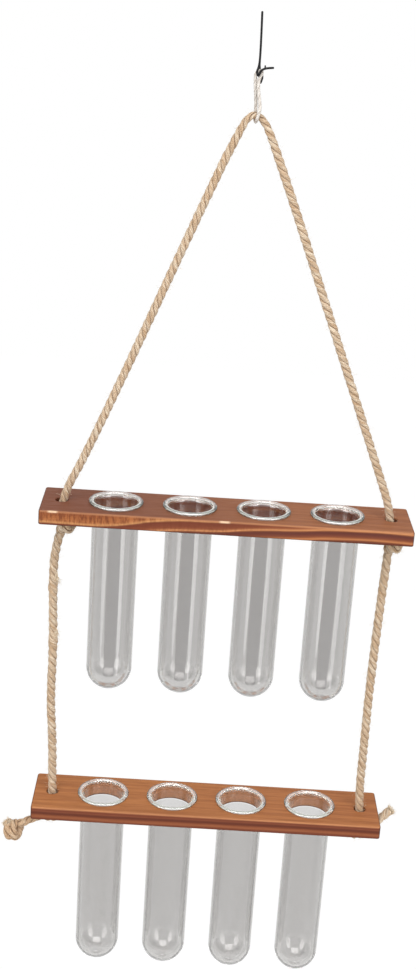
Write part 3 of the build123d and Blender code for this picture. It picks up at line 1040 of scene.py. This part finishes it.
# Painted shade, deeper where the outside faces the eye.
head_on_shade = glass.fade(glass.less(facing, glass.times(depth, 0.00036)), 0.112, 0.096)
from_outside = glass.fade(glass.less(outer_skin, backfacing), 0.4, 0.6)
wall = glass.blend(glass.times(head_on_shade, from_outside), wall, (0.38, 0.37, 0.365, 1))
# Painted shade near the outline.
outline_shade = glass.times(glass.fade(facing, 0.52, 0.64), outer_skin)
wall = glass.blend(outline_shade, wall, (0.2, 0.195, 0.19, 1))
rim = glass.fade(depth, 1.5, 0.0)
# Painted dark reflection on the rim's edge where it turns away.
rim_edge_shade = glass.times(glass.times(glass.fade(facing, 0.2, 0.6), outer_skin), rim)
clear = glass.blend(rim_edge_shade, (0.97, 0.975, 0.95, 1), (0.05, 0.05, 0.045, 1))
inside_dome = glass.times(glass.fade(depth, 96, 99), glass.less(1.0, outer_skin))
# Painted glow: the glass emits where a path has bounced three times in gloss, standing in for light piped
# round the rim.
painted_piped_glow = glass.maths("COMPARE", path["Glossy Depth"], 3.0, 0.5)
glass.fill(
    glass_surface,
    Base_Color=glass.blend(glass.fade(depth, 7, 8.5), clear, wall),
    Coat_Weight=glass.maths("MAXIMUM", glass.less(rim, rim_edge_shade), inside_dome),
    Emission_Color=glass.blend(painted_piped_glow, (0, 0, 0, 1), (0.56, 0.57, 0.51, 1)),
)
let_through = glass.add("ShaderNodeBsdfTransparent", Color=(0.86, 0.87, 0.86, 1))
glass.show(path["Is Shadow Ray"], glass_surface, let_through)

# %% Eight tubes
tubes = {}
for row, top in (("upper", upper_high.z), ("lower", lower_high.z)):
    for k in range(1, 5):
        node = f"{row}_tube_{k}"
        low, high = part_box(node)
        tubes[node] = turned_tube(f"{row}_glass_{k}", (low.x + high.x) / 2, top)
print("tubes", len(tubes))

# %% [markdown]
# ## What moves with what
# Every new piece stands for measured pieces and rides on their body. Ropes are also
# declared with their real length and thickness.

# %% Bodies and slots
jute_bodies = {"left_end": "lower_left_knot", "right_end": "lower_right_knot", "end_knot": "lower_left_knot"}
jute_replaces = {
    "sling": ["sling_rope"],
    "left_drop": ["left_drop_rope"],
    "right_drop": ["right_drop_rope"],
    "left_end": ["lower_left_knot", "left_tail"],
    "right_end": ["lower_right_knot", "right_tail"],
    "end_knot": ["left_end_knot"],
}
pieces = [
    (loop[0], "cord_loop", "white_cord", ["hanging_loop"]),
    (wire, "hanger", "black_wire", ["wire_hanger"]),
]
for part, (rope, _) in jute.items():
    body = jute_bodies.get(part, part)
    pieces.append((rope, body, "jute_rope", jute_replaces.get(part, [part])))
    pieces.append((fuzz[part], body, "jute_rope", []))
tufts = [(left_tuft, "lower_left_knot"), (right_tuft, "lower_right_knot")]
tufts += [(tuft, "left_drop") for tuft in flyaways]
pieces += [(tuft, body, "jute_rope", []) for tuft, body in tufts]
pieces += [(tube, node, "clear_glass", [node]) for node, tube in tubes.items()]
for piece, body, slot, replaced in pieces:
    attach(piece, body)
    if replaced:
        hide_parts(*replaced)

# %% Cords
cords = [
    ("sling", "knot", "taut", [jute["upper_left_knot"][0], jute["upper_right_knot"][0]]),
    ("left_drop", "object", "hanging", [fuzz["left_drop"], *flyaways]),
    ("right_drop", "object", "hanging", [fuzz["right_drop"]]),
    ("upper_left_knot", "object", "taut", [fuzz["upper_left_knot"]]),
    ("upper_right_knot", "object", "taut", [fuzz["upper_right_knot"]]),
    ("left_end", "knot", "hanging", [jute["end_knot"][0], left_tuft]),
    ("right_end", "bare", "hanging", [right_tuft]),
    ("end_knot", "bare", "hanging", [left_tuft]),
    ("white_cord", "object", "taut", []),
]
for part, far_end, lay, with_pieces in cords:
    piece, line = jute.get(part, loop)
